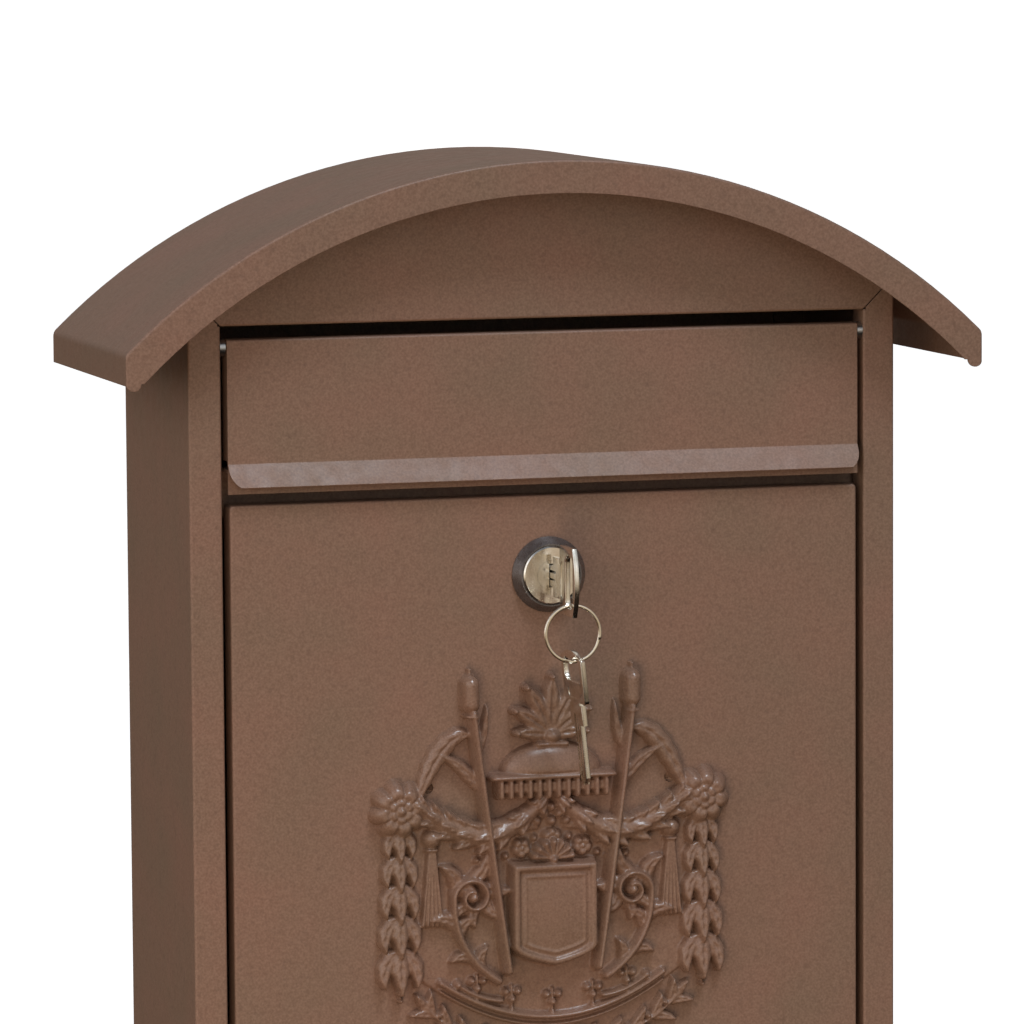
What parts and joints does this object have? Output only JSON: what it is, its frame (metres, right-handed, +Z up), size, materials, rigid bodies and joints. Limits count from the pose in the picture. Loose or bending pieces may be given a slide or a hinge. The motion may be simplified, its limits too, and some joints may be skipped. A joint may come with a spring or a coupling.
{
  "type": "wall mounted mailbox",
  "caption": "Wall mounted steel mailbox with an arched roof, a top-hinged mail flap and a drop-down door with ornament, lock and keys.",
  "frame": {"origin": "centre of the four wall fixing holes, on the rear face of the back panel", "axes": "+Z up, +Y into the wall, +X to the right of a person facing the mailbox"},
  "size_m": [0.349, 0.1565, 0.43],
  "materials": {
    "brown_paint": "satin brown powder coat with a fine grain, on folded steel sheet",
    "crest_paint": "cast ornament under the same satin brown powder coat",
    "bezel_paint": "dark brown glossy paint",
    "lock_chrome": "bright chrome, lightly brushed on the face",
    "zinc_steel": "bright zinc plate",
    "key_nickel": "nickel plate, bright on the cut edges",
    "ring_nickel": "bright nickel-plated spring wire"
  },
  "bodies": {
    "cabinet": {"roof_shell": "brown_paint", "gable_panel": "brown_paint", "left_side_panel": "brown_paint", "right_side_panel": "brown_paint", "back_panel": "brown_paint", "bottom_pan": "brown_paint", "slot_sill": "brown_paint", "left_roof_cleat": "brown_paint", "right_roof_cleat": "brown_paint", "left_flap_pin": "zinc_steel", "right_flap_pin": "zinc_steel", "left_door_pin": "zinc_steel", "right_door_pin": "zinc_steel"},
    "flap": {"mail_flap": "brown_paint"},
    "door": {"door_panel": "brown_paint", "crest_casting": "crest_paint", "crest_clips": "zinc_steel", "lock_bezel": "bezel_paint", "lock_housing": "lock_chrome", "lock_nut": "zinc_steel"},
    "plug": {"lock_plug": "lock_chrome", "lock_cam": "zinc_steel", "cam_washer": "zinc_steel", "cam_screw": "zinc_steel"},
    "key": {"lock_key": "key_nickel"},
    "ring": {"key_ring": "ring_nickel"},
    "spare": {"spare_key": "key_nickel"}
  },
  "joints": [
    {"name": "flap_hinge", "type": "hinge", "parent": "cabinet", "child": "flap", "pos_m": [0, -0.106, 0.1684], "axis": [-1, 0, 0], "range_deg": [0, 90]},
    {"name": "door_hinge", "type": "hinge", "parent": "cabinet", "child": "door", "pos_m": [0, -0.106, -0.1706], "axis": [1, 0, 0], "range_deg": [0, 110]},
    {"name": "plug_turn", "type": "hinge", "parent": "door", "child": "plug", "pos_m": [0, -0.11, 0.0756], "axis": [0, 1, 0], "range_deg": [0, 90]},
    {"name": "key_pull", "type": "slide", "parent": "plug", "child": "key", "axis": [0, -1, 0], "range_m": [0, 0.03]},
    {"name": "ring_swing", "type": "hinge", "parent": "key", "child": "ring", "pos_m": [0, -0.143, 0.0637], "axis": [0, 1, 0], "range_deg": [-90, 0]},
    {"name": "spare_swing", "type": "hinge", "parent": "ring", "child": "spare", "pos_m": [0, -0.143, 0.0447], "axis": [-1, 0, 0], "range_deg": [-15, 90]}
  ],
  "couplings": [
    {"joint": "ring_swing", "follows": "plug_turn", "ratio": -1}
  ]
}
